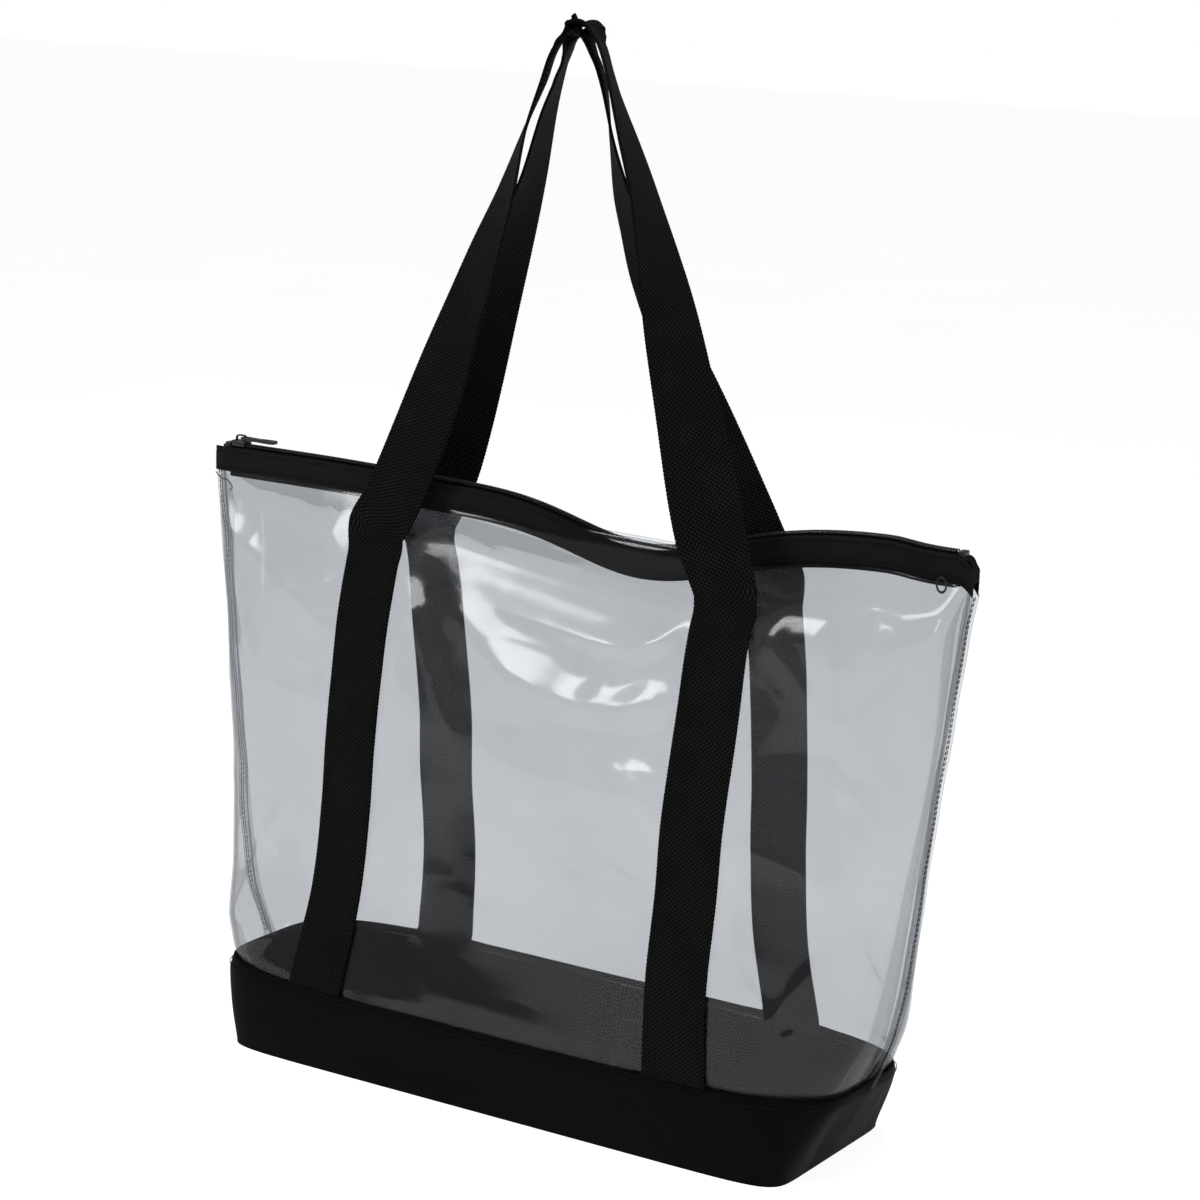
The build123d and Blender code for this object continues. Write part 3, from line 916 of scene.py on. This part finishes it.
def make_coil(name, back, node):
    """One half of the closed coil: a row of loops whose heads reach just past the middle."""
    pitch = 1.42
    middle = (COIL_LOW + COIL_TOP) / 2
    places = []
    count = int(2 * ZIP_END / pitch) - 1
    for i in range(count):
        x = -ZIP_END + (i + (0.75 if back else 0.25)) * pitch + 0.4
        slope = float(top_sag(x + 1) - top_sag(x - 1)) / 2
        matrix = placed((x, 1.1 if back else -1.1, float(middle + top_sag(x))), (1, 0, slope), (0, 0, 1))
        if back:
            matrix = matrix @ np.diag([1.0, -1.0, 1.0, 1.0])
            matrix[:3, 0] *= -1
        places.append(matrix)
    coil = many_copies(name, coil_tooth(), places, COIL)
    settle(coil, "bag", "zip_coil", node)


def soft_block(name, low, high, radius):
    """A metal box with rounded edges between two corners in millimetres."""
    shape = bmesh.new()
    bmesh.ops.create_cube(shape, size=1.0)
    low, high = np.array(low, float), np.array(high, float)
    for vert in shape.verts:
        vert.co = Vector((low + high) / 2 + np.array(vert.co) * (high - low))
    edges = shape.edges[:]
    bmesh.ops.bevel(shape, geom=edges, offset=radius, segments=3, profile=0.5, affect="EDGES")
    verts = [tuple(v.co) for v in shape.verts]
    faces = [tuple(v.index for v in f.verts) for f in shape.faces]
    shape.free()
    return mesh_object(name, verts, faces, SLIDER)


def prism(name, outline, hole, low, high, rounding):
    """A flat metal plate from an outline in XY, with an optional hole, softened along its rims."""
    slight = rounding * 0.3
    profile = [(rounding, low), (slight, low + slight), (0, low + rounding)]
    profile += [(0, high - rounding), (slight, high - slight), (rounding, high)]
    count, top = len(outline), (len(profile) - 1) * len(outline)
    inner = top + count
    verts, faces = [], []
    for ring, side in ((outline, 1), (hole, -1)):
        if ring is None:
            continue
        ring = np.asarray(ring, float)
        tangent = np.roll(ring, -1, axis=0) - np.roll(ring, 1, axis=0)
        normal = np.stack([tangent[:, 1], -tangent[:, 0]], axis=1)
        normal = normal / np.linalg.norm(normal, axis=1)[:, None] * side
        quads = grid_faces(len(profile), count, len(verts), ring=True)
        faces += quads if side == 1 else [(b, a, d, c) for a, b, c, d in quads]
        for inset, height in profile:
            verts.extend(np.c_[ring - normal * inset, np.full(count, height)])
    if hole is None:
        faces.append(tuple(reversed(range(count))))
        faces.append(tuple(top + j for j in range(count)))
    else:
        for j in range(count):
            k = (j + 1) % count
            faces.append((inner + j, inner + k, k, j))
            faces.append((top + j, top + k, inner + top + k, inner + top + j))
    return mesh_object(name, verts, faces, SLIDER)


def rounded_slot(centre_x, length, width, count):
    """Points round a slot shape lying along X, anticlockwise."""
    half = (length - width) / 2
    return [
        (centre_x + math.copysign(half, cosine) + width / 2 * cosine, width / 2 * sine)
        for cosine, sine in directions(count)
    ]


def make_stops():
    for side, node in ((-1, "left_zip_stop"), (1, "right_zip_stop")):
        (x_low, x_high), (z_low, z_high) = cad_size(node, 0), cad_size(node, 2)
        dip = float(top_sag((x_low + x_high) / 2))
        crimp = soft_block(node + "_crimp", (x_low, -3.1, z_low + dip), (x_high, 3.1, z_high + dip), 0.7)
        settle(crimp, "bag", "slider_metal", node)


def make_tail():
    """The end of the zip past the right-hand stop: two tapes turned down and a loop of loose coil."""
    x_low, x_high = cad_size("zip_tail", 0)
    z_low, z_high = cad_size("zip_tail", 2)
    t = np.linspace(0, 1, 24)
    x = x_low + (x_high - x_low) * np.sin(t * math.pi / 2) ** 0.8
    z = z_high - 0.4 - (z_high - z_low) * (1 - np.cos(t * math.pi / 2)) ** 0.9
    width = np.linspace(-2.9, 2.9, 7)
    upper = np.stack(np.broadcast_arrays(x[:, None], width[None, :], z[:, None]), axis=-1)
    upper[..., 0] += 0.25 * np.sin(width * 1.1)
    lower = upper - np.array([0.75, 0, 0.55])
    uv = np.stack(np.broadcast_arrays(width[None, :] * MM, t[:, None] * 0.018), axis=-1)
    tail = sheet_object("zip_tail_tape", upper, lower, TAPE_CLOTH, uv)
    settle(tail, "bag", "zip_tape", "zip_tail")
    turns = np.linspace(0, 2 * math.pi, 49)
    centre_x, centre_z, wire = x_low - 10, BAND_LOW - 1.5 + float(top_sag(x_low - 10)), 0.55
    rings = []
    for turn in turns:
        outward = np.array([math.sin(turn), 0, math.cos(turn) * 1.3])
        centre = np.array([centre_x, -7.6 - 0.9 * math.cos(turn / 2), centre_z]) + 3.0 * outward
        bead = wire * (1 + 0.18 * math.sin(24 * turn))
        rings.append([centre + bead * (u * outward + np.array([0, v, 0])) for u, v in directions(8)])
    settle(tube_object("zip_end_loop", np.array(rings), COIL), "bag", "zip_coil")


def make_slider():
    """The slider's saddle and the bridge on it."""
    sizes = [cad_size("zip_slider_body", axis) for axis in range(3)]
    (x_low, x_high), (y_low, y_high), (z_low, z_high) = sizes
    length, width = x_high - x_low, y_high - y_low
    outline = []
    for cosine, sine in directions(72):
        x = length / 2 * squared_off(cosine, 0.55)
        taper = 1 - 0.16 * (x / length + 0.5)
        outline.append(((x_low + x_high) / 2 + x, width / 2 * squared_off(sine, 0.4) * taper))
    parts = [prism("slider_plate", outline, None, z_high - 1.2, z_high, 0.4)]
    for side in (-1, 1):
        outer, inner = side * (y_high - 0.25), side * (y_high - 1.0)
        low = (x_low + 0.8, min(outer, inner), z_low)
        high = (x_high - 0.8, max(outer, inner), z_high - 0.5)
        parts.append(soft_block(f"slider_flange_{side}", low, high, 0.3))
    settle(joined("slider_saddle", parts), "slider", "slider_metal", "zip_slider_body")

    (x_low, x_high), (z_low, z_high) = [cad_size("zip_slider_bridge", axis) for axis in (0, 2)]
    turn = np.linspace(0, math.pi, 26)
    x = (x_low + x_high) / 2 - (x_high - x_low - 1.2) / 2 * squared_off(np.cos(turn), 0.6)
    z = z_low + (z_high - z_low - 0.55) * np.maximum(np.sin(turn), 0) ** 0.5
    arch = np.stack([x, z], axis=-1)
    tangent = np.gradient(arch, axis=0)
    tangent /= np.linalg.norm(tangent, axis=1)[:, None]
    skin = []
    for (x, z), (tx, tz) in zip(arch, tangent):
        wire = [(0.5 * squared_off(u, 0.6), 0.9 * squared_off(v, 0.6)) for u, v in directions(12)]
        skin.append([(x - tz * out, across, z + tx * out) for out, across in wire])
    bridge = tube_object("slider_bridge", np.array(skin), SLIDER)
    settle(bridge, "slider", "slider_metal", "zip_slider_bridge")


def pull_outline(start, end, start_width, end_width, count):
    """A rounded outline between two ends with its own width at each."""
    points = []
    for cosine, sine in directions(count):
        x = (start + end) / 2 + (end - start) / 2 * squared_off(cosine, 0.5)
        share = (x - start) / (end - start)
        half = (start_width + (end_width - start_width) * share) / 2
        points.append((x, half * squared_off(sine, 0.55)))
    return points


def make_pull():
    """The flat pull tab with its ring end and the oval hole near its tip."""
    (x_low, x_high), (z_low, z_high) = cad_size("zip_pull", 0), cad_size("zip_pull", 2)
    width = cad_size("zip_pull", 1)[1] * 2
    neck, count = x_low + 11.5, 96
    ring_outline = pull_outline(x_low, neck + 0.8, 6.2, 4.4, count)
    ring = prism("pull_ring", ring_outline, rounded_slot(x_low + 5.0, 6.2, 2.8, count), z_low, z_high, 0.3)
    tab_outline = pull_outline(neck - 0.8, x_high, 4.4, width, count)
    tab = prism("pull_tab", tab_outline, rounded_slot(x_high - 5.6, 6.0, 3.0, count), z_low, z_high, 0.3)
    settle(joined("zip_pull_tab", [ring, tab]), "pull", "slider_metal", "zip_pull")


make_band("front_band", False, "front_top_band", 1.0)
make_band("back_band", True, "back_top_band", 2.0)
make_band_stitches()
make_tape("front_tape", False, "front_zip_tape")
make_tape("back_tape", True, "back_zip_tape")
make_coil("front_coil", False, "front_zip_coil")
make_coil("back_coil", True, "back_zip_coil")
make_stops()
make_tail()
make_slider()
make_pull()


# ---------------------------------------------------------------- webbing
LOOP_START = [(-120.5, 303.35, 0), (-120.5, 307, 0), (-120.2, 311, 0), (-112, 324, 0)]
LOOP_END = [(120.2, 311, 180), (120.5, 307, 180), (120.5, 303.35, 180)]
FRONT_ROUTE = LOOP_START + [
    (-101, 349, 0), (-80.4, 405, 9), (-69, 439, 21), (-57.3, 473, 31), (-46.3, 505, 43),
    (-36, 543, 57), (-27, 568, 62), (-22.5, 582.5, 62), (-16.5, 592, 62), (-10, 597, 62),
    (-4, 599.2, 62), (1, 597.6, 62), (5, 593.8, 62), (9.3, 588, 62), (13.5, 580.5, 62),
    (20.8, 565.6, 64), (34, 539, 73), (47, 512, 81), (64, 470, 100), (73, 444, 112),
    (90, 394, 128), (108, 340, 158), (114.5, 325, 172),
] + LOOP_END
BACK_ROUTE = LOOP_START + [
    (-101, 344, 0), (-76, 392, 8), (-51, 439, 21), (-37.2, 466, 29), (-28.7, 488, 36),
    (-21, 509, 44), (-14.5, 537, 55), (-9.8, 564, 61), (-6, 577, 62), (-2, 585, 62),
    (1.8, 591.2, 62), (5, 594, 62), (8.6, 592.4, 62), (12.4, 588, 62), (16.2, 581, 62),
    (20.6, 572.5, 63), (28.8, 553, 69), (39.4, 521, 77), (45.6, 505, 83), (60, 471, 100),
    (73.2, 437, 114), (85.1, 402, 126), (104, 348, 152), (113.5, 325, 172),
] + LOOP_END
LOOP_TOP = 600.0
STRAP_GAP = 0.3


def smooth_depth(x, z):
    """The outer face of the smooth front panel at x and z."""
    return panel_point(panel_turn(x, z), z, VINYL)[..., 1]


def webbing_depth(x, z, back=False):
    """The inner face of the sewn webbing, close over the vinyl and its folds, as if on the front."""
    fade = edge_fade(panel_turn(x, z), z) * 0.15
    folds, seed, own_x = (BACK_FOLDS, 21.0, -x) if back else (FRONT_FOLDS, 1.0, x)
    return smooth_depth(x, z) - STRAP_GAP - panel_relief(own_x, z, folds, seed) * fade


def loop_line(route, spacing):
    """A free loop's middle, width direction and outward direction, at even spacing."""
    edges = np.array([-0.5, 0.0, 0.5]) * WEBBING_WIDTH
    half = WEBBING_THICKNESS / 2
    starts = [
        float(np.min(smooth_depth(side * STRAP_CENTRE + edges, LIFT_OFF))) - STRAP_GAP - half
        for side in (-1, 1)
    ]
    route = np.array(route, float)
    reach = np.concatenate([[0], np.cumsum(np.hypot(*np.diff(route[:, :2], axis=0).T))])
    keys = [list(zip(reach, route[:, axis])) for axis in range(3)]
    shares = [(LIFT_OFF, 1), (311, 1), (345, 0.92), (480, 0.5), (LOOP_TOP, 0)]

    def middle(place):
        x, z = along(keys[0], place), along(keys[1], place)
        start = np.where(place < reach[-1] / 2, starts[0], starts[1])
        return np.stack([x, start * along(shares, z), z], axis=-1)

    fine = np.linspace(0, reach[-1], 8000)
    length = np.concatenate([[0], np.cumsum(np.linalg.norm(np.diff(middle(fine), axis=0), axis=1))])
    stations = np.interp(np.arange(0, length[-1], spacing), length, fine)
    points = middle(stations)
    tangent = np.gradient(points, axis=0)
    tangent /= np.linalg.norm(tangent, axis=1)[:, None]
    turn = np.radians(along(keys[2], stations))
    width = np.stack([np.cos(turn), -np.sin(turn), np.zeros_like(turn)], axis=-1)
    width -= tangent * np.sum(width * tangent, axis=1)[:, None]
    width /= np.linalg.norm(width, axis=1)[:, None]
    return points, width, np.cross(width, tangent)


def webbing_section():
    """The webbing's cross-section: (share of width, share of thickness) round a flat oval."""
    flat = np.linspace(-0.97, 0.97, 23)
    outer = [(s, 0.5) for s in flat]
    inner = [(s, -0.5) for s in flat[::-1]]
    right = [(0.995, 0.3), (1.0, 0.0), (0.995, -0.3)]
    left = [(-0.995, -0.3), (-1.0, 0.0), (-0.995, 0.3)]
    return np.array(outer + right + inner + left)


def selvedge(rings, pitch=2.1, size=0.34):
    """Pushes the edge points in and out, as the weft turns round the edge yarns; also gives the reach."""
    middle = rings.mean(axis=1)
    reach = np.concatenate([[0], np.cumsum(np.linalg.norm(np.diff(middle, axis=0), axis=1))])
    share = webbing_section()[:, 0]
    near_edge = np.clip((np.abs(share) - 0.9) / 0.1, 0, 1) * np.sign(share)
    wave = size * (np.abs(np.sin(np.pi * reach / pitch)) - 0.6)
    right, left = int(np.argmax(share)), int(np.argmin(share))
    side = (rings[:, right] - rings[:, left]) / WEBBING_WIDTH
    return rings + side[:, None, :] * (wave[:, None] * near_edge)[..., None], reach


def lift_share(heights):
    """0 where the sewn webbing lies on the vinyl, rising to 1 where the loop holds it off."""
    share = np.clip((heights - (LIFT_OFF - 12)) / 14, 0, 1)
    return share * share * (3 - 2 * share)


def make_webbing(panel, back, route, straps):
    """One length of webbing: up one side of a panel, round the free loop and down the other."""
    spacing = 0.62
    points, width, outward = loop_line(route, spacing)
    section = webbing_section()
    offset = section[:, 0] * WEBBING_WIDTH / 2
    depth = section[:, 1] * WEBBING_THICKNESS
    heights = np.arange(BASE_TOP - 8, points[0, 2] - spacing / 2, spacing)
    share = lift_share(heights)[:, None]
    tuck = np.clip((BASE_TOP + 4 - heights) / 9, 0, 1)[:, None]
    sewn = []
    for side, top_y in ((-1, points[0, 1]), (1, points[-1, 1])):
        xs, zs = np.meshgrid(side * (STRAP_CENTRE - offset), heights)
        held = webbing_depth(xs, np.maximum(zs, BASE_TOP), back) - WEBBING_THICKNESS / 2
        y = held * (1 - share) + top_y * share - depth[None, :] + 2.6 * tuck
        sewn.append(np.stack([xs, y, zs], axis=-1))
    loop = points[:, None, :] + width[:, None, :] * offset[None, :, None]
    loop = loop + outward[:, None, :] * depth[None, :, None]
    rings, reach = selvedge(np.concatenate([sewn[0], loop, sewn[1][::-1]]))
    if back:
        rings[..., :2] *= -1
    uv = np.stack(np.broadcast_arrays((offset + 19)[None, :] * MM, reach[:, None] * MM), axis=-1)
    piece = tube_object(f"{panel}_webbing", rings, WEBBING, uv.reshape(-1, 2))
    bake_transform(piece)
    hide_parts(*(f"{panel}_{side}_strap" for side in straps), f"{panel}_handle")


def make_strap_stitches():
    """Stitches along both edges of each sewn strap, and rows across it under the lift-off."""
    rows = []
    for back in (False, True):
        for side in (-1, 1):
            lines = []
            z = np.linspace(BASE_TOP + 4, LIFT_OFF - 7, 300)
            for edge in (-1, 1):
                lines.append((np.full_like(z, side * STRAP_CENTRE + edge * (WEBBING_WIDTH / 2 - 2.6)), z))
            across = np.linspace(-WEBBING_WIDTH / 2 + 2.6, WEBBING_WIDTH / 2 - 2.6, 60)
            for level in (7.0, 10.5, 14.0, 34.0):
                lines.append((side * STRAP_CENTRE + across, np.full_like(across, LIFT_OFF - level)))
            for x, heights in lines:
                y = webbing_depth(x, heights, back) - WEBBING_THICKNESS
                top = float(webbing_depth(np.array([side * STRAP_CENTRE]), np.array([LIFT_OFF]), back)[0])
                share = lift_share(heights)
                y = y * (1 - share) + (top - WEBBING_THICKNESS) * share
                line = np.stack([x, y - 0.05, heights], axis=-1)
                if back:
                    line[:, :2] *= -1
                rows.append(stitch_row("strap_row", line, (0, 1 if back else -1, 0), 3.0, 0.27))
    settle(joined("strap_stitches", rows), "bag", "thread", "strap_bar_tacks")


make_webbing("front", False, FRONT_ROUTE, ("left", "right"))
make_webbing("back", True, BACK_ROUTE, ("right", "left"))
make_strap_stitches()


# ---------------------------------------------------------------- loose thread
def make_loose_thread():
    """A stray end of thread that curls out from under the band at the left end."""
    keys = [(-246, -6.4, 327), (-241, -7.6, 324), (-235, -9, 323.5), (-231, -9.6, 320), (-233, -9.4, 317.5)]
    keys, radius = np.array(keys, float), 0.28
    t = np.linspace(0, len(keys) - 1, 60)
    line = np.stack([along(list(enumerate(keys[:, i])), t) for i in range(3)], axis=-1)
    tangent = np.gradient(line, axis=0)
    rings = []
    for point, direction in zip(line, tangent):
        frame_here = placed(point, direction, (0, -1, 0.01))
        ring = [frame_here @ (0, radius * u, radius * v, 1) for u, v in directions(8)]
        rings.append([tuple(p[:3]) for p in ring])
    settle(tube_object("loose_thread", np.array(rings), THREAD), "bag", "thread")


make_loose_thread()
